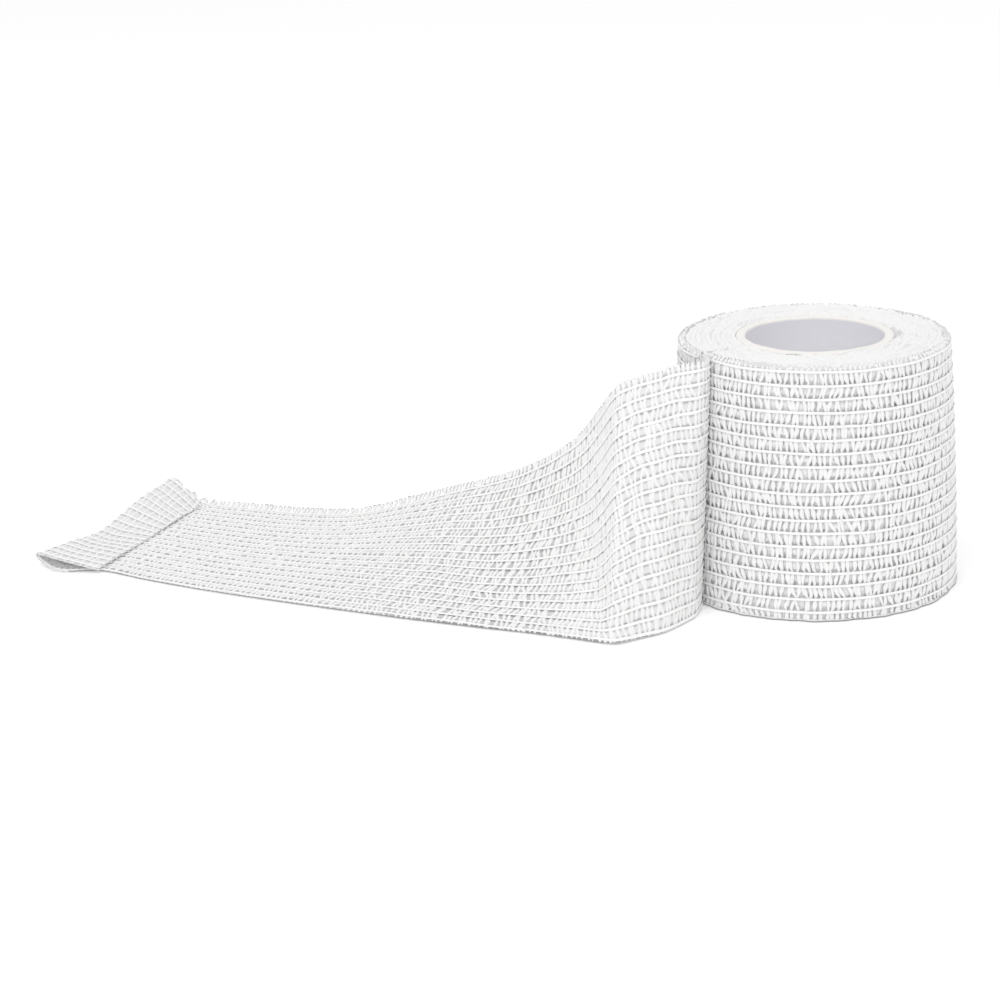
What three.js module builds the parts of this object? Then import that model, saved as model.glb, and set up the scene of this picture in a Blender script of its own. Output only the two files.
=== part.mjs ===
import * as THREE from 'three';
import { mergeVertices } from 'three/addons/utils/BufferGeometryUtils.js';

// A cohesive bandage wound on a short tube. It stands on its end, and its last stretch is peeled off,
// stands beside the roll, lies down along the surface and ends in a folded-over tab.
// Sizes are in millimetres. While the pieces are made, the tube's axis is the line x = 0, y = 0.

// Driving dimensions of the whole roll
const bandageWidth = 50;
const pieceGap = 0.3;

// The tube that the bandage is wound on
const coreBoreRadius = 13.6;
const coreWall = 1.9;
const coreRimRound = 0.4;
const coreSides = 72;

// The wound turns: the outermost one ends in a step where the loose end is peeled off.
// They are a little wider at the bottom, and the top of the stack leans to one side.
const baredTurnRadius = 26.2;
const baredTurnRadiusAtBottom = 27.3;
const bottomLean = 0.7;
const turnThickness = 0.9;
const peelAngle = THREE.MathUtils.degToRad(214);
const turnSides = 96;

// The loose end
const clothThickness = 1.0;
const stepsBetweenSections = 4;
const columnsAcross = 12;

// Sections of the loose end, from the roll to the cut edge of the tab, all at mid thickness.
// Each row gives the place of the near edge and the line that runs from there across the cloth: the way it
// heads and how steeply it rises, in degrees, and its length. The belly is how far the middle of the cloth
// stands proud of that line on the side that faces up or away from the roll, and the slide is how far the
// middle has moved along it towards the far edge.
const looseEndSections = [
  // place                     near x     y    z     heading  rise   width  belly  slide
  ['beside the step',          -22.4, -16.3, 0.1,         60,  89.5,    50,   0.0,   0.0],
  ['turns away',               -22.0, -17.5, 0.1,         40,  89.0,    50,   0.0,   0.0],
  ['rightmost in the turn',    -21.6, -19.5, 0.1,         60,  88.5,    50,   0.0,   0.0],
  ['turned back',              -22.0, -22.5, 0.1,         75,  87.0,    50,   0.0,   0.0],
  ['upright, first',           -23.0, -26.5, 0.1,         88,  83.0,    50,   0.5,   0.0],
  ['upright, second',          -25.5, -31.0, 0.1,         96,  77.5,    50,   1.0,   0.5],
  ['upright, third',           -28.5, -35.5, 0.2,         95,  72.0,    50,   1.5,   0.5],
  ['upright, fourth',          -32.5, -38.5, 0.2,         95,  66.5,    50,   2.0,   0.0],
  ['ridge over the corner',    -36.5, -41.5, 0.3,         93,  61.0,    50,   2.0,  -1.5],
  ['valley from the corner',   -38.5, -41.5, 0.3,         96,  46.5,    50,   1.0,  -3.0],
  ['valley, lower',            -40.5, -41.0, 0.4,        100,  34.5,    50,   0.0,  -2.5],
  ['leans back',               -51.0, -37.5, 0.4,         97,  24.5,    50,  -1.0,  -2.5],
  ['sinks, first',             -64.0, -34.0, 0.4,         91,  18.5,    50,  -1.5,  -2.0],
  ['sinks, second',            -78.0, -30.0, 0.4,         86,  13.5,    50,  -1.0,  -1.0],
  ['sinks, third',             -94.0, -25.0, 0.4,         81,   8.0,    50,  -0.5,  -0.5],
  ['sinks, fourth',           -109.0, -20.0, 0.4,         78,   3.0,    50,   0.0,   0.0],
  ['lies flat, first',        -124.0, -14.5, 0.4,         76,   1.0,    50,   0.0,   0.0],
  ['lies flat, second',       -137.0,  -9.0, 0.4,         75,   0.5,    50,   0.0,   0.0],
  ['under the cut edge',      -147.5,  -4.0, 0.6,         74,   1.0,    49,  -0.5,   0.0],
  ['under the tab',           -156.5,  -4.5, 0.6,         72,   4.0,    50,  -2.0,   0.0],
  ['enters the fold',         -161.0,  -1.5, 0.9,         70,   4.5,    49,  -2.0,   0.0],
  ['fold',                    -163.0,   0.5, 2.0,         67,   4.5,    48,  -2.0,   0.0],
  ['leaves the fold',         -161.0,  -1.5, 3.1,         69,   4.0,    49,  -2.0,   0.0],
  ['tab',                     -156.5,  -4.5, 3.0,         71,   3.5,    49,  -1.5,   0.0],
  ['cut edge of the tab',     -147.0,  -6.5, 2.4,         75,   1.0,    48,  -0.5,   0.0],
];

const clothMaterial = () => new THREE.MeshStandardMaterial({ color: 0xf3f3f1, roughness: 0.95, metalness: 0 });
const coreMaterial = () => new THREE.MeshStandardMaterial({ color: 0xe2e0e6, roughness: 0.6, metalness: 0 });

// A geometry whose touching triangles share their vertices
function joined(geometry) {
  geometry.deleteAttribute('normal');
  geometry.deleteAttribute('uv');
  const whole = mergeVertices(geometry, 1e-4);
  whole.computeVertexNormals();
  return whole;
}

function namedMesh(name, geometry, material) {
  const mesh = new THREE.Mesh(geometry, material);
  mesh.name = name;
  return mesh;
}

// The tube: a ring turned about the vertical axis, with its four rims slightly rounded
function makeCore() {
  const outerRadius = coreBoreRadius + coreWall;
  const section = [
    [coreBoreRadius + coreRimRound, 0],
    [outerRadius - coreRimRound, 0],
    [outerRadius, coreRimRound],
    [outerRadius, bandageWidth - coreRimRound],
    [outerRadius - coreRimRound, bandageWidth],
    [coreBoreRadius + coreRimRound, bandageWidth],
    [coreBoreRadius, bandageWidth - coreRimRound],
    [coreBoreRadius, coreRimRound],
    [coreBoreRadius + coreRimRound, 0],
  ].map(([radius, height]) => new THREE.Vector2(radius, height));
  const ring = new THREE.LatheGeometry(section, coreSides);
  ring.rotateX(Math.PI / 2);
  return namedMesh('core', joined(ring), coreMaterial());
}

// The wound turns: a spiral outline with one step, pushed up to the width of the bandage
function makeWoundBandage() {
  const outline = [];
  for (let side = 0; side <= turnSides; side += 1) {
    const turned = side / turnSides;
    const radius = baredTurnRadius + turnThickness * turned;
    const angle = peelAngle + turned * 2 * Math.PI;
    outline.push(new THREE.Vector2(radius * Math.cos(angle), radius * Math.sin(angle)));
  }
  const shape = new THREE.Shape(outline);
  const holeRadius = coreBoreRadius + coreWall + pieceGap;
  shape.holes.push(new THREE.Path().absarc(0, 0, holeRadius, 0, 2 * Math.PI, true));
  const body = new THREE.ExtrudeGeometry(shape, {
    depth: bandageWidth,
    bevelEnabled: false,
    curveSegments: coreSides,
  });
  widenAtBottom(body.attributes.position, (holeRadius + baredTurnRadius) / 2);
  return namedMesh('wound_bandage', joined(body), clothMaterial());
}

// Points outside the given radius spread and shift towards the bottom; the hole stays upright
function widenAtBottom(position, fromRadius) {
  const widening = baredTurnRadiusAtBottom / baredTurnRadius - 1;
  for (let index = 0; index < position.count; index += 1) {
    const x = position.getX(index);
    const y = position.getY(index);
    const depth = 1 - position.getZ(index) / bandageWidth;
    if (Math.hypot(x, y) > fromRadius) {
      position.setX(index, x * (1 + widening * depth) + bottomLean * depth);
      position.setY(index, y * (1 + widening * depth));
    }
  }
}

// The near edge, the middle and the far edge of the cloth at one section
function sectionPoints([, x, y, z, heading, rise, width, belly, slide]) {
  const turn = THREE.MathUtils.degToRad(heading);
  const slope = THREE.MathUtils.degToRad(rise);
  const level = new THREE.Vector3(Math.cos(turn), Math.sin(turn), 0);
  const across = level.clone().multiplyScalar(Math.cos(slope)).setZ(Math.sin(slope));
  const proud = level.clone().multiplyScalar(-Math.sin(slope)).setZ(Math.cos(slope));
  const near = new THREE.Vector3(x, y, z);
  const far = near.clone().addScaledVector(across, width);
  const middle = near.clone().addScaledVector(across, width / 2 + slide).addScaledVector(proud, belly);
  return [near, middle, far];
}

// Three smooth lines along the loose end: its near edge, its middle and its far edge
function looseEndLines() {
  const sections = looseEndSections.map(sectionPoints);
  return [0, 1, 2].map((place) => {
    const points = sections.map((section) => section[place]);
    return new THREE.CatmullRomCurve3(points, false, 'catmullrom', 0.5);
  });
}

// Points of the cloth's mid surface: a row for each step along, a column for each step across
function looseEndGrid() {
  const [nearLine, middleLine, farLine] = looseEndLines();
  const steps = (looseEndSections.length - 1) * stepsBetweenSections;
  const grid = [];
  for (let step = 0; step <= steps; step += 1) {
    const along = step / steps;
    const near = nearLine.getPoint(along);
    const middle = middleLine.getPoint(along);
    const far = farLine.getPoint(along);
    const row = [];
    for (let column = 0; column <= columnsAcross; column += 1) {
      const across = column / columnsAcross;
      const point = new THREE.Vector3();
      point.addScaledVector(near, (1 - across) * (1 - 2 * across));
      point.addScaledVector(middle, 4 * across * (1 - across));
      point.addScaledVector(far, across * (2 * across - 1));
      row.push(point);
    }
    grid.push(row);
  }
  return grid;
}

// The direction square to the cloth at one point of the grid
function squareTo(grid, step, column) {
  const lastStep = grid.length - 1;
  const along = grid[Math.min(step + 1, lastStep)][column].clone().sub(grid[Math.max(step - 1, 0)][column]);
  const row = grid[step];
  const across = row[Math.min(column + 1, columnsAcross)].clone().sub(row[Math.max(column - 1, 0)]);
  return along.cross(across).normalize();
}

// The loose end: both faces of the grid at half the thickness, closed by a wall round the border.
// Nothing reaches below the surface that the roll stands on.
function makeLooseEnd() {
  const grid = looseEndGrid();
  const lastStep = grid.length - 1;
  const positions = [];
  for (const side of [0.5, -0.5]) {
    grid.forEach((row, step) => row.forEach((point, column) => {
      const vertex = point.clone().addScaledVector(squareTo(grid, step, column), side * clothThickness);
      positions.push(vertex.x, vertex.y, Math.max(vertex.z, 0));
    }));
  }
  const front = (step, column) => step * (columnsAcross + 1) + column;
  const back = (step, column) => front(step, column) + grid.length * (columnsAcross + 1);

  const triangles = [];
  for (let step = 0; step < lastStep; step += 1) {
    for (let column = 0; column < columnsAcross; column += 1) {
      const corners = [[step, column], [step + 1, column], [step + 1, column + 1], [step, column + 1]];
      const [a, b, c, d] = corners.map((corner) => front(...corner));
      triangles.push(a, b, c, a, c, d);
      const [e, f, g, h] = corners.map((corner) => back(...corner));
      triangles.push(e, g, f, e, h, g);
    }
  }

  const border = [];
  for (let step = 0; step < lastStep; step += 1) border.push([step, 0]);
  for (let column = 0; column < columnsAcross; column += 1) border.push([lastStep, column]);
  for (let step = lastStep; step > 0; step -= 1) border.push([step, columnsAcross]);
  for (let column = columnsAcross; column > 0; column -= 1) border.push([0, column]);
  border.forEach((here, place) => {
    const next = border[(place + 1) % border.length];
    triangles.push(front(...next), front(...here), back(...here));
    triangles.push(front(...next), back(...here), back(...next));
  });

  const sheet = new THREE.BufferGeometry();
  sheet.setAttribute('position', new THREE.Float32BufferAttribute(positions, 3));
  sheet.setIndex(triangles);
  sheet.computeVertexNormals();
  return namedMesh('loose_end', sheet, clothMaterial());
}

const bandage = new THREE.Group();
bandage.add(makeCore(), makeWoundBandage(), makeLooseEnd());

// The origin is the middle of the box round the whole roll, at the level of the surface
const boxMiddle = new THREE.Box3().setFromObject(bandage).getCenter(new THREE.Vector3());
bandage.position.set(-boxMiddle.x, -boxMiddle.y, 0);

export default bandage;
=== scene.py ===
import math
import bpy
import numpy as np
from mathutils import Matrix, Vector


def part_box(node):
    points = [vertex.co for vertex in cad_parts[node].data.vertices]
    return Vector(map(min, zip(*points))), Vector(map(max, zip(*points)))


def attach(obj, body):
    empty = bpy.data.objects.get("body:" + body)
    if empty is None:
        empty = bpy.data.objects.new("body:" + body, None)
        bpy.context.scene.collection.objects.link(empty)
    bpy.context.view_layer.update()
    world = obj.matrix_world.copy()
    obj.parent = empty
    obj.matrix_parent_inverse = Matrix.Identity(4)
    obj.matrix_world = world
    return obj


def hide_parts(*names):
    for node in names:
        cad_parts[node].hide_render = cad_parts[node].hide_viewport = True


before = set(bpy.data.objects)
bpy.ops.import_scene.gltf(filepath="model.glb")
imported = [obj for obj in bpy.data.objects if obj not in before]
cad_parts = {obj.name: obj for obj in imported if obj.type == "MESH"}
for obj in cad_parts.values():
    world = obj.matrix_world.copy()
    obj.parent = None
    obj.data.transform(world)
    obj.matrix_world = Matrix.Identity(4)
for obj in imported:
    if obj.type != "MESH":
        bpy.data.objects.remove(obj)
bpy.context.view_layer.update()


# The photograph's view
# The camera stands half a metre in front of the roll and looks down at it from 17 cm above the surface.
# Its place is in millimetres from the foot of the tube's axis, which the frame gives, and its angles are
# in radians.
MM = 0.001
CAMERA_PLACE = Vector((0.9, -478.5, 169.9))
CAMERA_TURN = -0.134
CAMERA_TILT = 0.308
CAMERA_ROLL = -0.034
FOCAL_PIXELS = 2479.6
PHOTO_WIDTH_PIXELS = 1000
SENSOR_WIDTH = 36.0
FARTHEST_SEEN = 20.0

tube_low, tube_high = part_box("core")
axis_foot = Vector(((tube_low[0] + tube_high[0]) / 2, (tube_low[1] + tube_high[1]) / 2, 0.0))
ahead = Vector((math.sin(CAMERA_TURN) * math.cos(CAMERA_TILT),
                math.cos(CAMERA_TURN) * math.cos(CAMERA_TILT),
                -math.sin(CAMERA_TILT)))
level_right = Vector((math.cos(CAMERA_TURN), -math.sin(CAMERA_TURN), 0.0))
level_up = level_right.cross(ahead)
right = math.cos(CAMERA_ROLL) * level_right + math.sin(CAMERA_ROLL) * level_up
up = math.cos(CAMERA_ROLL) * level_up - math.sin(CAMERA_ROLL) * level_right
looking = Matrix((right, up, -ahead)).transposed().to_4x4()

camera_data = bpy.data.cameras.new("photo_view")
camera_data.sensor_width = SENSOR_WIDTH
camera_data.lens = FOCAL_PIXELS * SENSOR_WIDTH / PHOTO_WIDTH_PIXELS
camera_data.clip_end = FARTHEST_SEEN
camera = bpy.data.objects.new("photo_view", camera_data)
bpy.context.scene.collection.objects.link(camera)
camera.matrix_world = Matrix.Translation(axis_foot + CAMERA_PLACE * MM) @ looking
bpy.context.scene.camera = camera


# Studio floor and light
# A white sweep lit evenly from all sides, with one large soft lamp above and in front of the roll.
# The floor is bright enough to read as plain white, with only a faint shade close to the cloth.
FLOOR_HALF_WIDTH = 3.0
FLOOR_DROP = 0.0001
FLOOR_GLOW = 0.17
LAMP_PLACE = Vector((-0.1, -0.7, 1.3))
LAMP_WIDTH = 1.3
LAMP_POWER = 6.8
SKY_STRENGTH = 0.79


class Value:
    """A socket that Python arithmetic can be used on: each sum adds its own Math node."""

    def __init__(self, finish, socket):
        self.finish = finish
        self.socket = socket

    def maths(self, operation, first, second):
        return self.finish.node("ShaderNodeMath", {"operation": operation}, {0: first, 1: second})

    def __add__(self, other):
        return self.maths("ADD", self, other)

    def __radd__(self, other):
        return self.maths("ADD", other, self)

    def __sub__(self, other):
        return self.maths("SUBTRACT", self, other)

    def __rsub__(self, other):
        return self.maths("SUBTRACT", other, self)

    def __mul__(self, other):
        return self.maths("MULTIPLY", self, other)

    def __rmul__(self, other):
        return self.maths("MULTIPLY", other, self)


class Finish:
    """A material under construction."""

    def __init__(self, name):
        self.material = bpy.data.materials.new(name)
        self.material.use_nodes = True
        self.tree = self.material.node_tree
        self.tree.nodes.clear()

    def node(self, kind, settings=None, inputs=None, output=0):
        """Adds a node: its settings first, then the values or links of its sockets."""
        made = self.tree.nodes.new(kind)
        for name, setting in (settings or {}).items():
            setattr(made, name, setting)
        for name, given in (inputs or {}).items():
            if isinstance(given, Value):
                self.tree.links.new(given.socket, made.inputs[name])
            else:
                made.inputs[name].default_value = given
        return Value(self, made.outputs[output]) if made.outputs else made

    def mix(self, factor, first, second):
        """A colour between two others."""
        return self.node("ShaderNodeMix", {"data_type": "RGBA"}, {0: factor, 6: first, 7: second}, output=2)

    def between(self, value, low, high, at_low, at_high):
        """A number that goes from one level to another while a value rises from low to high."""
        return self.node("ShaderNodeMapRange", None, {
            "Value": value, "From Min": low, "From Max": high, "To Min": at_low, "To Max": at_high})

    def surface(self, inputs):
        """Ends the material with its shader."""
        shader = self.node("ShaderNodeBsdfPrincipled", None, inputs)
        self.node("ShaderNodeOutputMaterial", None, {"Surface": shader})
        return self.material


def colour(red, green, blue):
    return (red, green, blue, 1.0)


def grey(level):
    return colour(level, level, level)


floor_mesh = bpy.data.meshes.new("floor")
floor_corners = [(x * FLOOR_HALF_WIDTH, y * FLOOR_HALF_WIDTH, -FLOOR_DROP)
                 for x, y in ((-1, -1), (1, -1), (1, 1), (-1, 1))]
floor_mesh.from_pydata(floor_corners, [], [(0, 1, 2, 3)])
floor = bpy.data.objects.new("floor", floor_mesh)
bpy.context.scene.collection.objects.link(floor)
floor_mesh.materials.append(Finish("floor_white").surface({
    "Base Color": grey(0.94),
    "Roughness": 0.9,
    "Emission Color": grey(1.0),
    "Emission Strength": FLOOR_GLOW,
}))

sky = bpy.data.worlds.new("studio")
sky.use_nodes = True
sky.node_tree.nodes["Background"].inputs["Color"].default_value = grey(1.0)
sky.node_tree.nodes["Background"].inputs["Strength"].default_value = SKY_STRENGTH
bpy.context.scene.world = sky

lamp_data = bpy.data.lights.new("soft_lamp", "AREA")
lamp_data.shape = "SQUARE"
lamp_data.size = LAMP_WIDTH
lamp_data.energy = LAMP_POWER
lamp = bpy.data.objects.new("soft_lamp", lamp_data)
lamp.location = LAMP_PLACE
lamp.rotation_euler = (-LAMP_PLACE).to_track_quat("-Z", "Y").to_euler()
bpy.context.scene.collection.objects.link(lamp)
bpy.context.scene.view_settings.view_transform = "Standard"


# The tube
# A short tube wound from paper plies: a smooth lavender-grey lining inside, cream where its ends are cut.
# It is a push fit in the innermost turn, and its ends are level with the bandage. Sizes are in millimetres.
BANDAGE_WIDTH = 50.0
BORE_RADIUS = 13.6
TUBE_RADIUS = 15.5
RIM_ROUND = 0.45
RIM_STEPS = 5
TUBE_SIDES = 240
RIM_WOBBLE = 0.09
FINE_ROUGHNESS = 0.25
CUT_EDGE_FROM = 0.55
CUT_EDGE_FULL = 0.3
LINING_DARKENS_FROM = 41.0
LINING_DARKEST_AT = 49.5

# Waves round the cut top: how many, where they start in radians, and their share of the wobble.
TOP_WAVES = ((5, 1.0, 0.4), (13, 0.0, 0.3))


def to_metres(points):
    """Points in millimetres from the foot of the tube's axis, as metres in the frame."""
    return points * MM + np.array(axis_foot)


def quad_mesh(name, points, quads, finish, marks=None):
    """An object from a grid of points, in millimetres, and its four-cornered faces.
    A pair of numbers that marks each point for its finish may be given too."""
    points = to_metres(points.reshape(-1, 3))
    mesh = bpy.data.meshes.new(name)
    mesh.vertices.add(len(points))
    mesh.vertices.foreach_set("co", np.ascontiguousarray(points, dtype=np.float32).ravel())
    mesh.loops.add(quads.size)
    mesh.loops.foreach_set("vertex_index", np.ascontiguousarray(quads, dtype=np.int32).ravel())
    mesh.polygons.add(len(quads))
    mesh.polygons.foreach_set("loop_start", np.arange(0, quads.size, 4, dtype=np.int32))
    mesh.polygons.foreach_set("use_smooth", np.full(len(quads), True))
    if marks is not None:
        at_corners = marks.reshape(-1, 2)[quads.ravel()]
        layer = mesh.uv_layers.new(name="marks")
        layer.data.foreach_set("uv", np.ascontiguousarray(at_corners, dtype=np.float32).ravel())
    mesh.update(calc_edges=True)
    mesh.validate()
    mesh.materials.append(finish)
    made = bpy.data.objects.new(name, mesh)
    bpy.context.scene.collection.objects.link(made)
    return made


def grid_quads(rows, columns, close_rows=False, close_columns=False):
    """The faces of a grid of points, row by row, which may join up with itself either way."""
    row = np.arange(rows if close_rows else rows - 1)
    column = np.arange(columns if close_columns else columns - 1)
    row, column = (index.ravel() for index in np.meshgrid(row, column, indexing="ij"))
    next_row = (row + 1) % rows
    next_column = (column + 1) % columns
    return np.stack([row * columns + column, next_row * columns + column,
                     next_row * columns + next_column, row * columns + next_column], axis=1)


def tube_section():
    """Radius and height round the tube's wall, with its four rims rounded from a first angle on."""
    section = []
    for centre_radius, centre_height, first_angle in (
            (BORE_RADIUS + RIM_ROUND, BANDAGE_WIDTH - RIM_ROUND, 90),
            (BORE_RADIUS + RIM_ROUND, RIM_ROUND, 180),
            (TUBE_RADIUS - RIM_ROUND, RIM_ROUND, 270),
            (TUBE_RADIUS - RIM_ROUND, BANDAGE_WIDTH - RIM_ROUND, 0)):
        for turn in np.radians(first_angle + np.linspace(0, 90, RIM_STEPS)):
            section.append((centre_radius + RIM_ROUND * math.cos(turn),
                            centre_height + RIM_ROUND * math.sin(turn)))
    return np.array(section)


def tube_points():
    """The tube's wall, whose cut top is a little uneven: two sets of waves and some fine roughness."""
    section = tube_section()
    angles = np.linspace(0, 2 * np.pi, TUBE_SIDES, endpoint=False)[:, None]
    uneven = np.random.default_rng(11).normal(size=(TUBE_SIDES, 1)) * FINE_ROUGHNESS
    for waves, start, share in TOP_WAVES:
        uneven = uneven + np.sin(angles * waves + start) * share
    radius = np.broadcast_to(section[:, 0], (TUBE_SIDES, len(section)))
    near_top = np.clip((section[:, 1] - BANDAGE_WIDTH + 2 * RIM_ROUND) / RIM_ROUND, 0, 1)
    height = section[:, 1] + RIM_WOBBLE * uneven * near_top
    return np.stack([radius * np.cos(angles), radius * np.sin(angles), height], axis=-1)


def tube_finish():
    finish = Finish("paper_tube")
    place = finish.node("ShaderNodeTexCoord", output=3)
    height = finish.node("ShaderNodeSeparateXYZ", None, {0: place}, output=2)
    grain = finish.node("ShaderNodeTexNoise", None, {"Vector": place, "Scale": 900.0, "Detail": 4.0})
    speckle = finish.node("ShaderNodeTexNoise", None, {"Vector": place, "Scale": 3800.0, "Detail": 2.0})
    half_width = BANDAGE_WIDTH * MM / 2
    from_middle = finish.node("ShaderNodeMath", {"operation": "ABSOLUTE"}, {0: height - half_width})
    cut_edge = finish.between(from_middle, half_width - CUT_EDGE_FROM * MM, half_width - CUT_EDGE_FULL * MM,
                              0.0, 1.0)
    near_opening = finish.between(height, LINING_DARKENS_FROM * MM, LINING_DARKEST_AT * MM, 0.0, 1.0)
    lining = finish.mix(0.75 * near_opening + 0.25 * grain,
                        colour(0.965, 0.97, 0.98), colour(0.80, 0.788, 0.85))
    edge = finish.mix(speckle, colour(0.87, 0.84, 0.81), colour(0.95, 0.93, 0.91))
    bump = finish.node("ShaderNodeBump", None, {"Height": speckle, "Strength": 0.35, "Distance": 0.00008})
    return finish.surface({
        "Base Color": finish.mix(cut_edge, lining, edge),
        "Roughness": 0.55 + 0.35 * cut_edge,
        "Normal": bump,
    })


tube = quad_mesh("paper_tube", tube_points(), grid_quads(TUBE_SIDES, 4 * RIM_STEPS, True, True),
                 tube_finish())
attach(tube, "root")
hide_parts("core")


# The wound turns
# Eleven turns of the bandage on the tube, each a little under 1 mm thick, with their edges showing at both
# ends. The outermost turn ends in a small step where the loose end is peeled off, and is drawn out a little
# at the foot beside that step. The innermost turn has a kink.
BARED_RADIUS = 26.2
BARED_RADIUS_AT_BOTTOM = 27.6
BOTTOM_LEAN = 0.7
BELLY = 0.35
PULLED_OUT = 1.5
PULLED_ANGLE = 0.6
TURN_THICKNESS = 0.9
PEEL_ANGLE = math.radians(214)
INNER_RADIUS = 15.6
KINK_ANGLE = math.radians(3)
KINK_HALF_ANGLE = math.radians(19)
KINK_GAP = 1.7
TURNS = 11
TURNS_DEPTH = 0.55
WALL_DEPTH = 1.0
RELIEF_ROOM = 0.5
RIDGE_HEIGHT = 0.40
UNEVEN_HEIGHT = 0.13
UNEVEN_SPREAD = 14
CRUMPLED_HEIGHT = 0.10
CRUMPLED_SPREAD = 3
LOOPS_HEIGHT = 0.12
LOOPS_SPREAD = 1
SPARE_TURNS = 3
RIM_DROP = 0.2
RIM_SHARE = 0.07
END_COLUMNS = 480
END_ROWS = 76
RIM_ROWS = 4
WALL_ROWS = 4
# Painted shade: the grey painted where the cloth meets the surface, at the foot of the roll and along the
# loose end's near edge.
SHADED_GREY = grey(0.30)
# Painted shade: the grey painted on the flanks of the yarns and on the outer rim of the turns' end face.
FLANK_SHADE_GREY = grey(0.45)


def roll_point(turned, height, outward):
    """A point on the roll: radians turned from the peel, height, and distance off the outer turn's face."""
    depth = 1 - height / BANDAGE_WIDTH
    widening = 1 + (BARED_RADIUS_AT_BOTTOM / BARED_RADIUS - 1) * depth
    pulled_out = PULLED_OUT * depth ** 2 * np.exp(-(turned / PULLED_ANGLE) ** 2)
    radius = (BARED_RADIUS + TURN_THICKNESS * turned / (2 * np.pi)) * widening
    radius = radius + BELLY * 4 * depth * (1 - depth) + pulled_out + outward
    angle = PEEL_ANGLE + turned
    x = radius * np.cos(angle) + BOTTOM_LEAN * depth
    y = radius * np.sin(angle)
    return np.stack([x, y, height + 0 * radius], axis=-1)


def smooth_random(rng, shape, spread):
    """Random numbers that change smoothly along the first axis, which closes on itself.
    The spread says over how many places each one reaches."""
    values = rng.normal(size=shape)
    reach = np.arange(-3 * spread, 3 * spread + 1)
    weights = np.exp(-0.5 * (reach / spread) ** 2)
    total = sum(weight * np.roll(values, shift, axis=0) for shift, weight in zip(reach, weights))
    return total / np.sqrt((weights ** 2).sum())


def end_relief(rng, turned, across):
    """How the edges of the turns stand up on an end face: a ridge for each turn, uneven, with loops.
    The unevenness is laid out along the whole wound length, so that it runs on from turn to turn."""
    columns = len(turned)
    turn = across * TURNS - turned / (2 * np.pi) + 1
    wound_length = np.clip(np.floor(turn).astype(int) * (columns - 1) + np.arange(columns)[:, None], 0, None)
    whole_length = (columns * (TURNS + SPARE_TURNS),)
    uneven = smooth_random(rng, whole_length, UNEVEN_SPREAD)[wound_length]
    crumpled = smooth_random(rng, whole_length, CRUMPLED_SPREAD)[wound_length]
    loops = smooth_random(rng, whole_length, LOOPS_SPREAD)[wound_length]
    ridge = np.sqrt(np.abs(np.sin(np.pi * turn)))
    return (RIDGE_HEIGHT * ridge + UNEVEN_HEIGHT * uneven + CRUMPLED_HEIGHT * crumpled
            + LOOPS_HEIGHT * loops * ridge)


def turns_points():
    """The turns' two end faces, the plain wall behind the woven outer turn, and the wall round the tube."""
    rng = np.random.default_rng(5)
    turned = np.linspace(0, 2 * np.pi, END_COLUMNS)[:, None]
    across = np.linspace(0, 1, END_ROWS)[None, :]
    outer_top = roll_point(turned, np.full_like(turned, BANDAGE_WIDTH), -TURNS_DEPTH)
    outer_low = roll_point(turned, np.zeros_like(turned), -TURNS_DEPTH)
    angle = PEEL_ANGLE + turned
    from_kink = np.abs((angle - KINK_ANGLE + np.pi) % (2 * np.pi) - np.pi)
    inner_radius = INNER_RADIUS + KINK_GAP * np.clip(1 - from_kink / KINK_HALF_ANGLE, 0, 1)
    inner = np.stack([inner_radius * np.cos(angle), inner_radius * np.sin(angle), 0 * angle], axis=-1)
    top = inner * (1 - across[..., None]) + outer_top * across[..., None]
    low = inner * (1 - across[..., None]) + outer_low * across[..., None]
    rim_drop = RIM_DROP * np.clip((across - 1 + RIM_SHARE) / RIM_SHARE, 0, 1) ** 2
    top[..., 2] = BANDAGE_WIDTH - RELIEF_ROOM + end_relief(rng, turned, across) - rim_drop
    low[..., 2] = RELIEF_ROOM - np.minimum(end_relief(rng, turned, across), RELIEF_ROOM)
    rise = np.linspace(0, 1, WALL_ROWS + 2)[1:-1][None, :, None]
    outer_wall = top[:, -1:, :] * (1 - rise) + low[:, -1:, :] * rise
    outer_wall[..., :2] *= 1 - WALL_DEPTH / BARED_RADIUS
    inner_wall = low[:, :1, :] * (1 - rise) + top[:, :1, :] * rise
    return np.concatenate([top, outer_wall, low[:, ::-1, :], inner_wall], axis=1)


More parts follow.
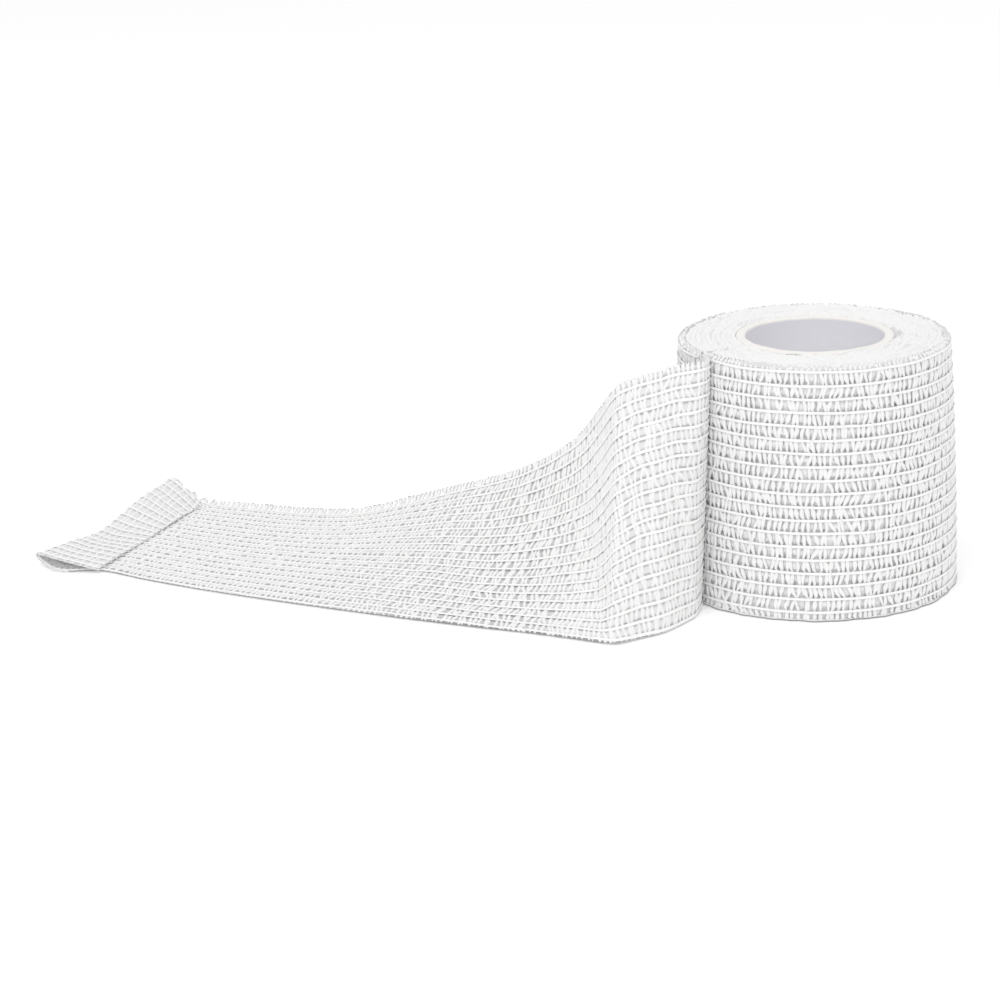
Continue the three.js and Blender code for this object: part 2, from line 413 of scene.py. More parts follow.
def cloth_finish(name, light, dark, fibre_size, bump_strength, shaded_foot=0.0, shaded_flanks=0.0):
    """White crepe: fine fibres in the bump and a little unevenness in the white.
    The foot, given as a height in millimetres, is a strip of painted shade, grey where the cloth meets the
    surface it stands on.
    What is marked 0 can get painted shade, greyer for the shade that the cloth beside it casts: the flanks of
    a yarn, whose crown is marked about 0.9, and the outer rim of the turns."""
    finish = Finish(name)
    place = finish.node("ShaderNodeTexCoord", output=3)
    fibres = finish.node("ShaderNodeTexNoise", None, {
        "Vector": place, "Scale": 1 / (fibre_size * MM), "Detail": 3.0, "Roughness": 0.6})
    patches = finish.node("ShaderNodeTexNoise", None, {"Vector": place, "Scale": 260.0, "Detail": 2.0})
    bump = finish.node("ShaderNodeBump", None, {
        "Height": fibres, "Strength": bump_strength, "Distance": 0.0001})
    white = finish.mix(0.65 * fibres + 0.35 * patches, dark, light)
    # Painted shade on what is marked low: the flanks of the yarns and the turns' outer rim.
    if shaded_flanks:
        marks = finish.node("ShaderNodeTexCoord", output=2)
        crown = finish.node("ShaderNodeSeparateXYZ", None, {0: marks}, output=0)
        white = finish.mix(finish.between(crown, 0.1, 0.5, shaded_flanks, 0.0), white, FLANK_SHADE_GREY)
    # Painted shade at the foot: grey below the given height.
    if shaded_foot:
        height = finish.node("ShaderNodeSeparateXYZ", None, {0: place}, output=2)
        above_foot = finish.between(height, (shaded_foot - 0.1) * MM, shaded_foot * MM, 0.0, 1.0)
        white = finish.mix(above_foot, SHADED_GREY, white)
    return finish.surface({
        "Base Color": white,
        "Roughness": 0.92,
        "Normal": bump,
    })


# The turns get painted shade on the outer rim of their top end face.
turns_finish = cloth_finish("cloth_turns", colour(0.955, 0.955, 0.95), grey(0.86), 0.3, 0.9,
                            shaded_flanks=0.35)
turns_grid = turns_points()
# The rim rows marked 0 are where the shade is painted.
turns_marks = np.ones(turns_grid.shape[:2] + (2,))
turns_marks[:, END_ROWS - RIM_ROWS:END_ROWS] = 0.0
turns = quad_mesh("wound_turns", turns_grid, grid_quads(*turns_grid.shape[:2], True, True)[:, ::-1],
                  turns_finish, turns_marks)
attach(turns, "root")
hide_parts("wound_bandage")


# The weave on the outer turn
# Fluffy white crepe yarns run from edge to edge, pinched under nineteen straight elastic threads. Between
# the threads they puff up and lean at random, which leaves small dark gaps with the cloth's ground behind.
# They end just above the foot, and bend in over the upper edge.
THREADS = 19
FIRST_THREAD = 1.8
LAST_THREAD = 49.1
THREAD_HALF_WIDTH = 0.27
THREAD_HALF_HEIGHT = 0.15
THREAD_WANDER = 0.05
WANDER_SPREAD = 4
THREAD_STEP = 0.7
THREAD_LEVEL = 0.34
THREAD_LEVEL_UNEVEN = 0.012
THREAD_WIDTH_UNEVEN = 0.015
YARN_PITCH = 1.05
YARN_LEVEL = -0.45
FULL_THICKNESS = 1.0
MOST_SLENDER = 0.75
LEAN_TOGETHER = 0.22
LEAN_SPREAD = 2
LEAN_APART = 0.24
YARN_BEND = 0.15
YARN_SNAKE = 0.12
LEVEL_UNEVEN = 0.05
WIDTH_UNEVEN = 0.15
HEIGHT_UNEVEN = 0.10
LEVEL_OVER_THREAD = 0.42
SHARE_OVER_THREAD = 0.08
END_UNEVEN = 0.06
LOOP_UNEVEN = 0.05
SHORTEST_END = 0.6
END_HALF_HEIGHT = 0.32
LOOP_RAISED = 0.06
LOOP_PUFF = 0.35
LOWEST_YARN = 0.03
TUBE_CORNERS = 6

# From one thread to the next: share of the way, half width, half height, and level off the weave's own.
CELL_STATIONS = ((0.0, 0.30, 0.20, -0.12),
                 (0.2, 0.33, 0.30, -0.05),
                 (0.5, 0.50, 0.36, 0.0),
                 (0.8, 0.46, 0.33, -0.02))

# Shares of the way from the last thread to the edge.
EDGE_STATIONS = (0.35, 0.65, 0.87, 1.0)

GROUND_ROWS_PER_CELL = 5
GROUND_ROWS_PER_BACK_ROW = 8
GROUND_COLUMNS = 420
GROUND_DEPTH = 1.1
GROUND_BULGE_DEPTH = 0.5
GROUND_BACK_DEPTH = 1.4
GROUND_UNEVEN = 0.10
GROUND_SPREAD = 2
GROUND_BULGE_SKEW = 1.25
LIP_HEIGHTS = [0.04, 0.24, 0.34]
LIP_BULGES = [0.0, 0.0, 0.3]
UPPER_EDGE_HEIGHTS = [LAST_THREAD, 49.5]
UPPER_EDGE_BULGES = [0.3, 0.5]
LIP_UNEVEN = 0.12
LIP_LEAN = 0.05
# Height of the painted shade on the ground's foot, in millimetres.
SHADED_LIP = 0.25


def tube_mesh(name, surface, path, half_width, half_height, finish):
    """Closed tubes that follow paths of (along, across, off) on a surface, one tube for each row.
    Each end has six corners and is closed with two faces."""
    along, across, off = path
    step_along = np.gradient(along, axis=1)
    step_across = np.gradient(across, axis=1)
    length = np.hypot(step_along, step_across)
    side_along = (step_across / length)[..., None]
    side_across = (-step_along / length)[..., None]
    corner = np.arange(TUBE_CORNERS) * 2 * np.pi / TUBE_CORNERS
    out = half_width[..., None] * np.cos(corner)
    points = surface(along[..., None] + side_along * out, across[..., None] + side_across * out,
                     off[..., None] + half_height[..., None] * np.sin(corner))
    tubes, stations = along.shape
    one = grid_quads(stations, TUBE_CORNERS, False, True)
    start_cap = np.array([[0, 1, 2, 3], [0, 3, 4, 5]])
    end_cap = start_cap[:, ::-1] + (stations - 1) * TUBE_CORNERS
    one = np.concatenate([one, start_cap, end_cap])
    first = np.arange(tubes) * stations * TUBE_CORNERS
    quads = (one[None] + first[:, None, None]).reshape(-1, 4)
    # Each point is marked by how near the tube's crown it lies, so that a finish with shaded flanks paints
    # shade on the flanks.
    crown = np.broadcast_to(np.abs(np.sin(corner)), points.shape[:-1])
    return quad_mesh(name, points, quads, finish, np.stack([crown, crown], axis=-1))


def yarn_edge(rng, starts, at_thread, thread_places, edge, at_high_edge, dip, slender, thickness):
    """The stations of the yarns from the last thread to an edge of the bandage.
    Where the ends are looped, neighbours meet in pairs; elsewhere each yarn ends by itself."""
    count = len(starts)
    thread = -1 if at_high_edge else 0
    step = 1 if at_high_edge else -1
    number = np.arange(count)
    side = np.where(number % 2 == 0, step, -step)
    partner = np.clip(number + side, 0, count - 1)
    own = at_thread[:, thread]
    middle = (own + own[partner]) / 2
    looped = edge["looped"]
    reach = 1 - np.abs(rng.normal(size=count)) * (END_UNEVEN + LOOP_UNEVEN * looped)
    reach = np.maximum((reach + reach[partner]) / 2, SHORTEST_END)
    puff = rng.random(count) * LOOP_PUFF
    puff = (puff + puff[partner]) / 2 * looped
    meet = middle * looped + starts * (1 - looped)
    from_thread = edge["place"] - thread_places[thread]
    half_height = (END_HALF_HEIGHT + LOOP_RAISED * looped) * thickness * np.ones(count)
    stations = []
    for share in EDGE_STATIONS:
        turn = share * math.pi / 2
        along = own + (meet - own) * (1 - math.cos(turn)) - side * puff * math.sin(2 * turn)
        across = thread_places[thread] + from_thread * math.sin(turn) * reach
        off = edge["curl"] * share ** 2 * reach + dip * (1 - share) * thickness
        stations.append((along, across, off, edge["half_width"] * slender, half_height))
    return stations


def yarn_paths(rng, starts, thread_places, low_edge, high_edge, cell_stations, thickness, share_over):
    """Where crepe yarns run, and how wide and thick they are, from the low edge to the high one.
    An edge is its place across, how far it curls off the surface, whether its yarns are looped, and half the
    width of their ends. Most yarns pass under a thread, and a share of them over it."""
    count = len(starts)
    slender = np.clip(YARN_PITCH / np.gradient(starts), MOST_SLENDER, 1.0)
    lean = smooth_random(rng, (count, THREADS), LEAN_SPREAD) * LEAN_TOGETHER
    lean = lean + rng.normal(size=(count, THREADS)) * LEAN_APART
    at_thread = starts[:, None] + lean
    over = (rng.random((count, THREADS)).T < share_over).T
    stations = []
    for cell in range(THREADS):
        above = min(cell + 1, THREADS - 1)
        bend = rng.normal(size=count) * YARN_BEND
        snake = rng.normal(size=count) * YARN_SNAKE
        stations_here = cell_stations[:1] if cell == THREADS - 1 else cell_stations
        for share, width, height, level in stations_here:
            wander = math.sin(math.pi * share)
            raised = np.where(over[:, cell], LEVEL_OVER_THREAD, level) if share == 0 else level
            along = (at_thread[:, cell] * (1 - share) + at_thread[:, above] * share
                     + bend * wander + snake * math.sin(2 * math.pi * share))
            across = np.full(count, thread_places[cell] * (1 - share) + thread_places[above] * share)
            off = (raised + rng.normal(size=count) * LEVEL_UNEVEN * wander) * thickness
            half_width = width * (1 + rng.normal(size=count) * WIDTH_UNEVEN) * slender
            half_height = height * (1 + rng.normal(size=count) * HEIGHT_UNEVEN) * thickness
            stations.append((along, across, off, half_width, half_height))
    dip = cell_stations[0][3]
    high_end = yarn_edge(rng, starts, at_thread, thread_places, high_edge, True, dip, slender, thickness)
    low_end = yarn_edge(rng, starts, at_thread, thread_places, low_edge, False, dip, slender, thickness)
    stations = low_end[::-1] + stations + high_end
    along, across, off, half_width, half_height = (np.stack(values, axis=1) for values in zip(*stations))
    return (along, across, off), half_width, half_height


def thread_paths(rng, thread_places, end, level_at, side, wander, width):
    """Where the elastic threads run along the bandage, nearly straight, on its outer or inner side."""
    stations = int(end / THREAD_STEP)
    count = len(thread_places)
    along = np.broadcast_to(np.linspace(0.0, end, stations), (count, stations))
    across = thread_places[:, None] + smooth_random(rng, (stations, count), WANDER_SPREAD).T * wander
    off = side * level_at(along) + rng.normal(size=(count, stations)) * THREAD_LEVEL_UNEVEN
    half_width = width + rng.normal(size=(count, stations)) * THREAD_WIDTH_UNEVEN
    half_height = np.full((count, stations), THREAD_HALF_HEIGHT)
    return (along, across, off), half_width, half_height


mean_radius = BARED_RADIUS + TURN_THICKNESS / 2
turn_length = 2 * np.pi * mean_radius
roll_thread_places = np.linspace(FIRST_THREAD, LAST_THREAD, THREADS)
roll_yarns = int(turn_length / YARN_PITCH)
roll_starts = (np.arange(roll_yarns) + 0.5) * (turn_length / roll_yarns)


def roll_surface(along, across, off):
    """Millimetres along the outer turn, from the bared turn beside the peel right round to the step."""
    return roll_point(along / mean_radius, np.maximum(across, LOWEST_YARN), off + YARN_LEVEL)


def roll_thread_level(along):
    """The threads lie at one level all round the roll."""
    return THREAD_LEVEL


def roll_ground_points():
    """The cloth behind the yarns, which bulges between the threads and lies deepest just above each one.
    At the foot it comes out in a thin uneven lip under the ends of the yarns, which carries the painted shade
    of the foot."""
    rng = np.random.default_rng(8)
    rows = np.arange((THREADS - 1) * GROUND_ROWS_PER_CELL)
    part = (rows % GROUND_ROWS_PER_CELL) / GROUND_ROWS_PER_CELL
    heights = np.interp(rows / GROUND_ROWS_PER_CELL, np.arange(THREADS), roll_thread_places)
    bulge = np.sin(np.pi * part ** GROUND_BULGE_SKEW)
    heights = np.concatenate([LIP_HEIGHTS, heights, UPPER_EDGE_HEIGHTS])
    bulge = np.concatenate([LIP_BULGES, bulge, UPPER_EDGE_BULGES])
    turned = np.linspace(0, 2 * np.pi, GROUND_COLUMNS)[:, None]
    uneven = smooth_random(rng, (GROUND_COLUMNS, len(heights)), GROUND_SPREAD) * GROUND_UNEVEN
    depth = GROUND_DEPTH * (1 - bulge[None]) + GROUND_BULGE_DEPTH * bulge[None] + uneven
    depth[:, 0] = LIP_UNEVEN * smooth_random(rng, (GROUND_COLUMNS,), GROUND_SPREAD)
    depth[:, 1] = depth[:, 0] + LIP_LEAN
    back_heights = np.append(heights[:0:-GROUND_ROWS_PER_BACK_ROW], heights[0])
    front = roll_point(turned, np.broadcast_to(heights[None], depth.shape), -depth)
    back = roll_point(turned, np.broadcast_to(back_heights[None], (GROUND_COLUMNS, len(back_heights))),
                      -GROUND_BACK_DEPTH)
    return np.concatenate([front[:, ::-1], back[:, ::-1]], axis=1)


weave_rng = np.random.default_rng(21)
# The yarns get painted shade on their flanks.
yarn_finish = cloth_finish("crepe_yarn", colour(0.975, 0.975, 0.97), grey(0.88), 0.18, 0.6,
                           shaded_flanks=0.45)
thread_finish = cloth_finish("elastic_thread", colour(0.98, 0.98, 0.975), colour(0.93, 0.93, 0.925),
                             0.3, 0.2)
# The ground gets painted shade along its foot.
ground_finish = cloth_finish("cloth_ground", grey(0.93), grey(0.82), 0.25, 0.5, shaded_foot=SHADED_LIP)

roll_low_edge = {"place": 0.22, "curl": 0.0, "looped": 0.0, "half_width": 0.46}
roll_high_edge = {"place": 49.8, "curl": -1.0, "looped": 0.0, "half_width": 0.44}
yarn_path, yarn_width, yarn_height = yarn_paths(
    weave_rng, roll_starts, roll_thread_places, roll_low_edge, roll_high_edge, CELL_STATIONS,
    FULL_THICKNESS, SHARE_OVER_THREAD)
roll_weft = tube_mesh("outer_turn_yarns", roll_surface, yarn_path, yarn_width, yarn_height, yarn_finish)

thread_path, thread_width, thread_height = thread_paths(
    weave_rng, roll_thread_places, turn_length, roll_thread_level, 1, THREAD_WANDER, THREAD_HALF_WIDTH)
roll_threads = tube_mesh("outer_turn_threads", roll_surface, thread_path, thread_width, thread_height,
                         thread_finish)

ground_grid = roll_ground_points()
roll_ground = quad_mesh("outer_turn_ground", ground_grid,
                        grid_quads(*ground_grid.shape[:2], True, True)[:, ::-1], ground_finish)
for piece in (roll_weft, roll_threads, roll_ground):
    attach(piece, "root")


# The loose end
# The last stretch of the bandage, peeled off the roll and turned back on itself. It stands beside the roll,
# folds over a corner, sinks down to the surface and ends in a tab folded back over it.

# Each row is one line across the cloth. It gives the near edge's place in millimetres from the foot of the
# tube's axis, then the way the cloth leads from there, as a heading in degrees from the roll's right towards
# its back and a rise above level, then the width, and how far the middle stands proud of a straight line
# and slides along it.
LOOSE_END_SECTIONS = np.array([
    # near x     y     z   heading  rise  width  belly  slide
    # the tight turn at the peel
    [ -22.5,  -16.0,  0.1,    20,   89.0,   50,   0.0,   0.0],
    [ -22.3,  -17.2,  0.1,    20,   88.0,   50,   0.0,   0.0],
    [ -22.0,  -19.5,  0.1,    40,   87.0,   50,   0.0,   0.0],
    [ -22.2,  -22.5,  0.1,    65,   87.0,   50,   0.0,   0.0],
    # the upright part, which leans back more and more
    [ -23.0,  -26.5,  0.1,    88,   83.0,   50,   0.5,   0.0],
    [ -25.5,  -31.0,  0.1,    96,   77.5,   50,   1.0,   0.5],
    [ -28.5,  -35.5,  0.2,    95,   72.0,   50,   1.5,   0.5],
    [ -32.5,  -38.5,  0.2,    95,   66.5,   50,   2.0,   0.0],
    [ -36.5,  -41.5,  0.3,    93,   61.0,   50,   2.0,  -1.5],
    # over the corner
    [ -38.5,  -41.5,  0.3,    96,   46.5,   50,   1.0,  -3.0],
    [ -40.5,  -41.0,  0.3,   100,   34.5,   50,   0.0,  -2.5],
    # down the slope
    [ -51.0,  -37.5,  0.3,    97,   24.5,   50,  -1.0,  -2.5],
    [ -64.0,  -34.0,  0.3,    91,   18.5,   50,  -1.5,  -2.0],
    [ -78.0,  -30.0,  0.3,    86,   13.5,   50,  -1.0,  -1.0],
    [ -94.0,  -25.0,  0.3,    81,    8.0,   50,  -0.5,  -0.5],
    # flat on the surface
    [-109.0,  -20.0,  0.3,    78,    3.0,   50,   0.0,   0.0],
    [-124.0,  -14.5,  0.3,    76,    1.0,   50,   0.0,   0.0],
    [-137.0,   -9.0,  0.3,    75,    0.5,   49,   0.0,   0.0],
    [-147.5,   -4.0,  0.3,    74,    0.5,   47,   0.0,   0.0],
    # round the tab's fold
    [-156.5,   -4.5,  0.3,    72,    3.0,   50,  -1.5,   0.0],
    [-161.0,   -1.5,  0.9,    70,    4.0,   49,  -2.0,   0.0],
    [-163.0,    0.5,  2.0,    67,    4.0,   48,  -2.0,   0.0],
    # back over the cloth to the cut edge
    [-161.0,   -1.5,  2.9,    69,    3.5,   49,  -2.0,   0.0],
    [-156.5,   -4.0,  2.6,    71,    2.0,   49,  -1.5,   0.0],
    [-148.0,   -5.5,  1.1,    75,    0.0,   46,   0.0,   0.0],
])
LINE_STEPS = 1600
GRID_ROWS = 900
GRID_COLUMNS = 51
LOWEST_CLOTH = 0.02

# Millimetres along the loose end where its character changes.
PITS_NARROW_UNTIL = 40.0
PITS_WIDE_FROM = 50.0
STANDS_UNTIL = 60.0
LIES_FROM = 100.0
LIES_UNTIL = 148.0
STRETCHED_FROM = 150.0
OPEN_FROM = 152.0
FULLY_STRETCHED = 160.0
YARNS_APART_FROM = 164.0

# The creases pressed into the fold: places along it and shares there, then places across it and sizes.
CREASED_ALONG = ([152, 160, 168, 176], [0, 1, 1, 0.2])
RAISED_PLACE = 38
RAISED_REACH = 8
RAISED_HEIGHT = 0.8
PRESSED_PLACE = 21
PRESSED_REACH = 7
PRESSED_DEPTH = 1.0

FIRST_LOOSE_THREAD = 0.55
LAST_LOOSE_THREAD = 48.05
SHEET_ROWS = 420
SHEET_COLUMNS_PER_CELL = 4
SHEET_HALF_THICKNESS = 0.06
SHEET_BULGE = 0.1
SHEET_EDGE_BULGE = 0.6
# The sheet's nearest column drops a little towards the surface and carries the painted shade along the near
# edge.
SHEET_NEAR_EDGE = 0.02
SHEET_NEAR_ROW = 0.3
SHEET_EDGE_DROP = 0.08
SHEET_FAR_EDGE = 49.2
FAR_EDGE_DRAWN_IN = 0.7
# Where the painted shade along the near edge fades out, in millimetres across.
NEAR_EDGE_SHADE_STRIP = (0.12, 0.20)
STRIP_FADE_SHARE = 0.01
# Painted glow in the stretched tab, standing in for light that comes through the thin cloth.
TAB_GLOW = 0.2

# The painted shade in the pits of the ground, in shares of the way from one thread to the next: how far from
# its middle each kind is darkest and how far it reaches, and how far beyond its thread the middle of a lying
# pit is. Then how much painted shade the ground has halfway between two threads, where the pits are narrow
# and where they are wide.
STANDING_PIT = (0.06, 0.34)
LYING_PIT = (0.14, 0.34)
LYING_PIT_PLACE = 0.3
HALFWAY_SHADE = (0.2, 0.65)
STRETCHED_PIT_SHARE = 0.95
# The grey of the painted pit shade, and the pale ground's own colour.
PIT_SHADE_GREY = grey(0.42)
PALE_GREY = grey(0.88)

# The pattern's places are moved on by whole cells, so that none of them is below zero.
CELLS_AHEAD = 10


def smooth_line(points, places):
    """A smooth line through points, read at places counted in points from the first."""
    padded = np.concatenate([2 * points[:1] - points[1:2], points, 2 * points[-1:] - points[-2:-1]])
    first = np.clip(places.astype(int), 0, len(points) - 2)
    part = (places - first)[:, None]
    a, b, c, d = (padded[first + shift] for shift in range(4))
    return 0.5 * (2 * b + (c - a) * part + (2 * a - 5 * b + 4 * c - d) * part ** 2
                  + (3 * b - a - 3 * c + d) * part ** 3)


def section_points():
    """The near edge, the middle and the far edge of the cloth at each section."""
    near = LOOSE_END_SECTIONS[:, 0:3]
    heading, rise = np.radians(LOOSE_END_SECTIONS[:, 3:5]).T
    width, belly, slide = LOOSE_END_SECTIONS[:, 5:8].T[:, :, None]
    line = np.stack([np.cos(rise) * np.cos(heading), np.cos(rise) * np.sin(heading), np.sin(rise)], axis=1)
    proud = np.stack([-np.sin(rise) * np.cos(heading), -np.sin(rise) * np.sin(heading), np.cos(rise)],
                     axis=1)
    return near, near + line * (width / 2 + slide) + proud * belly, near + line * width


def loose_end_grid():
    """Points on the cloth's mid surface, evenly spaced along each line, and the line's mean length."""
    near, middle, far = section_points()
    places = np.linspace(0, len(near) - 1, LINE_STEPS)
    near, middle, far = (smooth_line(points, places) for points in (near, middle, far))
    columns = []
    lengths = []
    for across in np.linspace(0, 1, GRID_COLUMNS):
        line = (near * (1 - across) * (1 - 2 * across) + middle * 4 * across * (1 - across)
                + far * across * (2 * across - 1))
        travelled = np.concatenate([[0], np.cumsum(np.linalg.norm(np.diff(line, axis=0), axis=1))])
        even = np.linspace(0, travelled[-1], GRID_ROWS)
        columns.append(np.stack([np.interp(even, travelled, line[:, axis]) for axis in range(3)], axis=1))
        lengths.append(travelled[-1])
    return np.stack(columns, axis=1), float(np.mean(lengths))


loose_grid, loose_length = loose_end_grid()
loose_normals = np.cross(np.gradient(loose_grid, axis=0), np.gradient(loose_grid, axis=1))
loose_normals /= np.linalg.norm(loose_normals, axis=2, keepdims=True)
loose_thread_places = np.linspace(FIRST_LOOSE_THREAD, LAST_LOOSE_THREAD, THREADS)


def read_grid(grid, along, across):
    """Reads a grid of points between its rows and columns."""
    row = np.clip(along / loose_length, 0, 1) * (GRID_ROWS - 1)
    column = np.clip(across / BANDAGE_WIDTH, 0, 1) * (GRID_COLUMNS - 1)
    first_row = np.minimum(row.astype(int), GRID_ROWS - 2)
    first_column = np.minimum(column.astype(int), GRID_COLUMNS - 2)
    row_part = (row - first_row)[..., None]
    column_part = (column - first_column)[..., None]
    low = grid[first_row, first_column] * (1 - column_part) + grid[first_row, first_column + 1] * column_part
    high = (grid[first_row + 1, first_column] * (1 - column_part)
            + grid[first_row + 1, first_column + 1] * column_part)
    return low * (1 - row_part) + high * row_part


def fold_creases(along, across):
    """How far the cloth is raised round the fold: pressed down at one place, a little higher beside it."""
    raised = RAISED_HEIGHT * np.exp(-((across - RAISED_PLACE) / RAISED_REACH) ** 2)
    pressed = PRESSED_DEPTH * np.exp(-((across - PRESSED_PLACE) / PRESSED_REACH) ** 2)
    return np.interp(along, *CREASED_ALONG) * (raised - pressed)


def loose_surface(along, across, off):
    """Millimetres along and across the loose end, and off its mid surface towards the outer face."""
    beyond = np.maximum(along - loose_length, 0)[..., None]
    last_step = read_grid(loose_grid, np.full_like(along, loose_length), across)
    last_step = last_step - read_grid(loose_grid, np.full_like(along, loose_length - 1.0), across)
    point = read_grid(loose_grid, along, across) + read_grid(loose_normals, along, across) * off[..., None]
    point = point + beyond * last_step
    point[..., 2] = np.maximum(point[..., 2] + fold_creases(along, across), LOWEST_CLOTH)
    return point


def lying_share(along):
    """How far the cloth has come from standing upright, at the roll, to lying flat."""
    return np.interp(along, [STANDS_UNTIL, LIES_FROM], [0, 1])


def sheet_columns():
    """Where the ground's columns lie across the bandage, and how far each one bulges between two threads."""
    cells = np.linspace(0, THREADS - 1, (THREADS - 1) * SHEET_COLUMNS_PER_CELL + 1)
    places = np.interp(cells, np.arange(THREADS), loose_thread_places)
    bulge = np.sin(np.pi * (cells % 1))
    places = np.concatenate([[SHEET_NEAR_EDGE, SHEET_NEAR_ROW], places, [SHEET_FAR_EDGE]])
    return places, np.concatenate([[SHEET_EDGE_BULGE] * 2, bulge, [SHEET_EDGE_BULGE]])


def sheet_mesh():
    """The cloth behind the yarns: an outer and an inner face, joined at both edges and at both ends."""
    places, bulge = sheet_columns()
    columns = len(places)
    along, across = np.meshgrid(np.linspace(0, loose_length, SHEET_ROWS), places, indexing="ij")
    across[:, -1] -= FAR_EDGE_DRAWN_IN * lying_share(along[:, -1])
    half_thickness = SHEET_HALF_THICKNESS + SHEET_BULGE * bulge * (1 - lying_share(along))
    edge_drop = np.where(np.arange(columns) == 0, SHEET_EDGE_DROP, 0.0) * (along < STRETCHED_FROM)
    off = np.concatenate([half_thickness + edge_drop, edge_drop[:, ::-1] - half_thickness[:, ::-1]], axis=1)
    along = np.concatenate([along, along], axis=1)
    across = np.concatenate([across, across[:, ::-1]], axis=1)
    rim = np.arange(columns)
    last = 2 * columns - 1
    start_cap = np.stack([rim[:-1], rim[1:], last - rim[1:], last - rim[:-1]], axis=1)
    end_cap = start_cap[:, ::-1] + (SHEET_ROWS - 1) * 2 * columns
    quads = np.concatenate([grid_quads(SHEET_ROWS, 2 * columns, False, True), start_cap, end_cap])
    marks = np.stack([along / loose_length, across / BANDAGE_WIDTH], axis=-1)
    return quad_mesh("loose_end_ground", loose_surface(along, across, off), quads, loose_ground_finish(),
                     marks)


def loose_ground_finish():
    """Pale, with painted shade in the pits, grey where light hardly reaches: at both sides of a thread where
    the cloth stands, and just beyond it where the cloth lies flat. The strip along the near edge has painted
    shade up to the tab, and the stretched tab has a painted glow for the light that comes through it. The
    marks are shares of the way along and across the cloth."""
    finish = Finish("cloth_ground_loose")
    flat = finish.node("ShaderNodeTexCoord", output=2)
    share_along = finish.node("ShaderNodeSeparateXYZ", None, {0: flat}, output=0)
    share_across = finish.node("ShaderNodeSeparateXYZ", None, {0: flat}, output=1)
    thread_pitch = (LAST_LOOSE_THREAD - FIRST_LOOSE_THREAD) / (THREADS - 1)
    cells = (share_across * BANDAGE_WIDTH - FIRST_LOOSE_THREAD) * (1 / thread_pitch)
    from_thread = finish.node("ShaderNodeMath", {"operation": "PINGPONG"}, {
        0: cells + CELLS_AHEAD, 1: 0.5})
    from_pit = finish.node("ShaderNodeMath", {"operation": "PINGPONG"}, {
        0: cells + (CELLS_AHEAD - LYING_PIT_PLACE), 1: 0.5})
    # The painted shade in the pits: beside the threads where the cloth stands, beyond them where it lies.
    halfway = finish.between(share_along, PITS_NARROW_UNTIL / loose_length,
                             PITS_WIDE_FROM / loose_length, *HALFWAY_SHADE)
    standing_pit = finish.between(from_thread, *STANDING_PIT, 1.0, halfway)
    lying_pit = finish.between(from_pit, *LYING_PIT, 1.0, 0.0)
    lying = finish.between(share_along, STANDS_UNTIL / loose_length, LIES_FROM / loose_length, 0.0, 1.0)
    stretched = finish.between(share_along, OPEN_FROM / loose_length, FULLY_STRETCHED / loose_length,
                               0.0, 1.0)
    pit = standing_pit + lying * (lying_pit - standing_pit)
    pit = pit + stretched * (STRETCHED_PIT_SHARE * standing_pit - pit)
    # Painted shade along the near edge, up to the tab.
    strip_from, strip_to = (place / BANDAGE_WIDTH for place in NEAR_EDGE_SHADE_STRIP)
    strip_end = STRETCHED_FROM / loose_length
    near_edge = (finish.between(share_across, strip_from, strip_to, 1.0, 0.0)
                 * finish.between(share_along, strip_end, strip_end + STRIP_FADE_SHARE, 1.0, 0.0))
    place = finish.node("ShaderNodeTexCoord", output=3)
    fibres = finish.node("ShaderNodeTexNoise", None, {"Vector": place, "Scale": 4000.0, "Detail": 3.0})
    bump = finish.node("ShaderNodeBump", None, {"Height": fibres, "Strength": 0.5, "Distance": 0.0001})
    return finish.surface({
        "Base Color": finish.mix(near_edge, finish.mix(pit, PALE_GREY, PIT_SHADE_GREY), SHADED_GREY),
        "Roughness": 0.95,
        # Painted glow in the stretched tab.
        "Emission Color": finish.mix(stretched, grey(0.0), grey(TAB_GLOW)),
        "Emission Strength": 1.0,
        "Normal": bump,
    })


sheet = sheet_mesh()
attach(sheet, "root")
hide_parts("loose_end")


# The weave on the loose end
# The same yarns and threads, with a thread on each face of the cloth. In the tab the cloth is stretched, so
# its yarns stand apart, and they meet in loops at both edges. Elsewhere they end singly, and where the cloth
# lies flat they curl down at the far edge.
LYING_PITCH = 1.2
STRETCHED_PITCH = 1.7
PITCH_STEPS = 400
STANDING_THREAD_LEVEL = 0.33
LYING_THREAD_LEVEL = 0.14
STRETCHED_THREAD_LEVEL = 0.24
LOOSE_THREAD_HALF_WIDTH = 0.33
LOOSE_THREAD_WANDER = 0.08
LOOSE_THREAD_OVERHANG = 0.2
TAB_YARN_WIDENING = 0.08
MORE_OVER_WHERE_LYING = 0.22
STANDING_THICKNESS = 1.05
LYING_THICKNESS = 0.62


def loose_yarn_starts():
    """Where the yarns of the loose end start, closest together at the roll and farthest apart in the tab."""
    along = np.linspace(0, loose_length, PITCH_STEPS)
    pitch = np.interp(along, [STANDS_UNTIL, LIES_FROM, STRETCHED_FROM, YARNS_APART_FROM],
                      [YARN_PITCH, LYING_PITCH, LYING_PITCH, STRETCHED_PITCH])
    yarns_so_far = np.cumsum(1 / pitch) * (along[1] - along[0])
    return np.interp(np.arange(0.5, yarns_so_far[-1]), yarns_so_far, along)


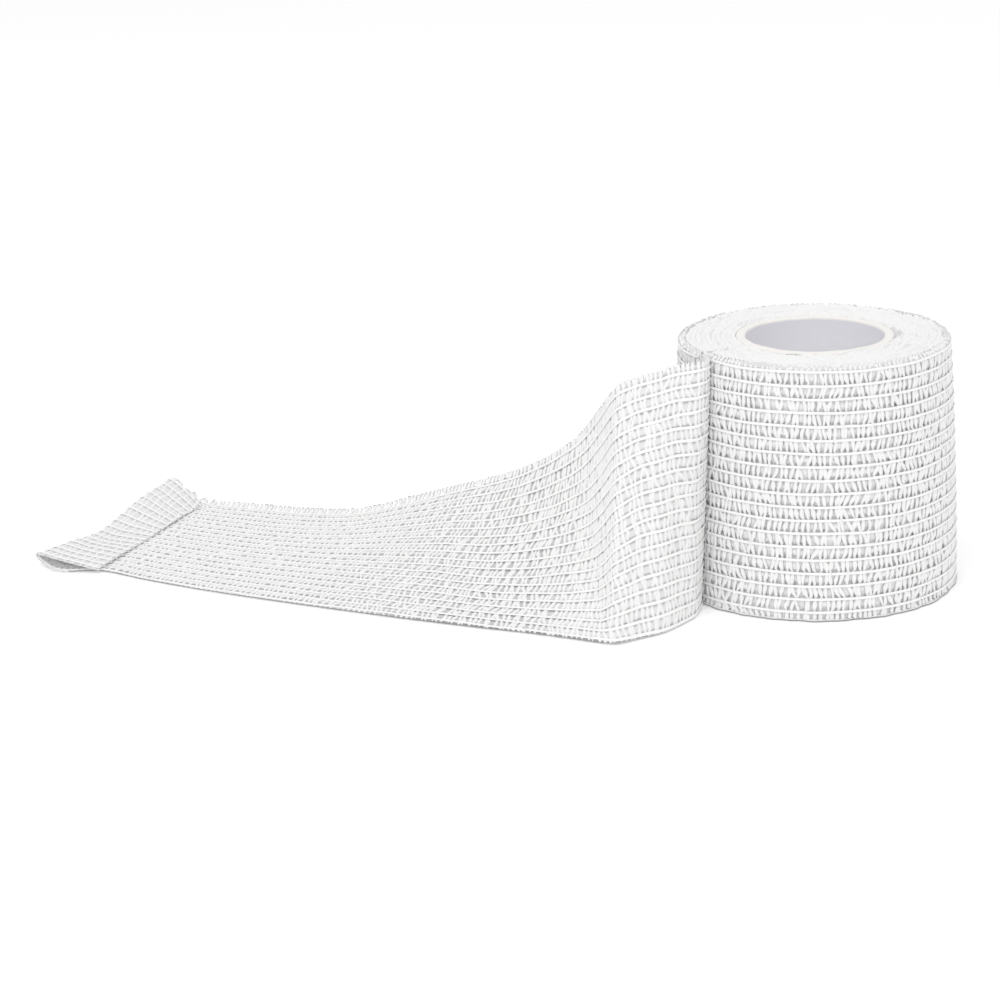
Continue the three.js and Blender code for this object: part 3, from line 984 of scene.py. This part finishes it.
def loose_thickness(along):
    """The cloth is puffy where it stands at the roll, and flatter where it lies on the surface."""
    return STANDING_THICKNESS + (LYING_THICKNESS - STANDING_THICKNESS) * lying_share(along)


def loose_thread_level(along):
    """How far the threads stand off the mid surface. They sink in where the cloth lies flat, unstretched."""
    return np.interp(along, [STANDS_UNTIL, LIES_FROM, LIES_UNTIL, FULLY_STRETCHED],
                     [STANDING_THREAD_LEVEL, LYING_THREAD_LEVEL, LYING_THREAD_LEVEL, STRETCHED_THREAD_LEVEL])


loose_starts = loose_yarn_starts()
looped = (loose_starts > STRETCHED_FROM).astype(float)
lying = lying_share(loose_starts)
wider = TAB_YARN_WIDENING * looped
share_over = SHARE_OVER_THREAD + MORE_OVER_WHERE_LYING * lying * (1 - looped)
loose_cell_stations = ((0.0, 0.32 + wider, 0.22, 0.0),
                       (0.25, 0.38 - 0.02 * lying + wider, 0.32, 0.0),
                       (0.55, 0.46 - 0.04 * lying + wider, 0.38, 0.0),
                       (0.8, 0.41 + 0.07 * lying, 0.35, 0.0))
loose_near_edge = {"place": 0.3 - 0.75 * looped, "curl": 0.0, "looped": looped, "half_width": 0.40}
loose_far_edge = {"place": 49.9 + 0.2 * lying, "curl": -0.1 - 0.7 * lying, "looped": looped,
                  "half_width": 0.46 + 0.1 * lying}
yarn_path, yarn_width, yarn_height = yarn_paths(
    weave_rng, loose_starts, loose_thread_places, loose_near_edge, loose_far_edge, loose_cell_stations,
    loose_thickness(loose_starts), share_over)
loose_pieces = [tube_mesh("loose_end_yarns", loose_surface, yarn_path, yarn_width, yarn_height, yarn_finish)]

for name, side in (("loose_end_threads_inside", -1), ("loose_end_threads_outside", 1)):
    thread_path, thread_width, thread_height = thread_paths(
        weave_rng, loose_thread_places, loose_length + LOOSE_THREAD_OVERHANG, loose_thread_level, side,
        LOOSE_THREAD_WANDER, LOOSE_THREAD_HALF_WIDTH)
    loose_pieces.append(
        tube_mesh(name, loose_surface, thread_path, thread_width, thread_height, thread_finish))

for piece in loose_pieces:
    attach(piece, "root")
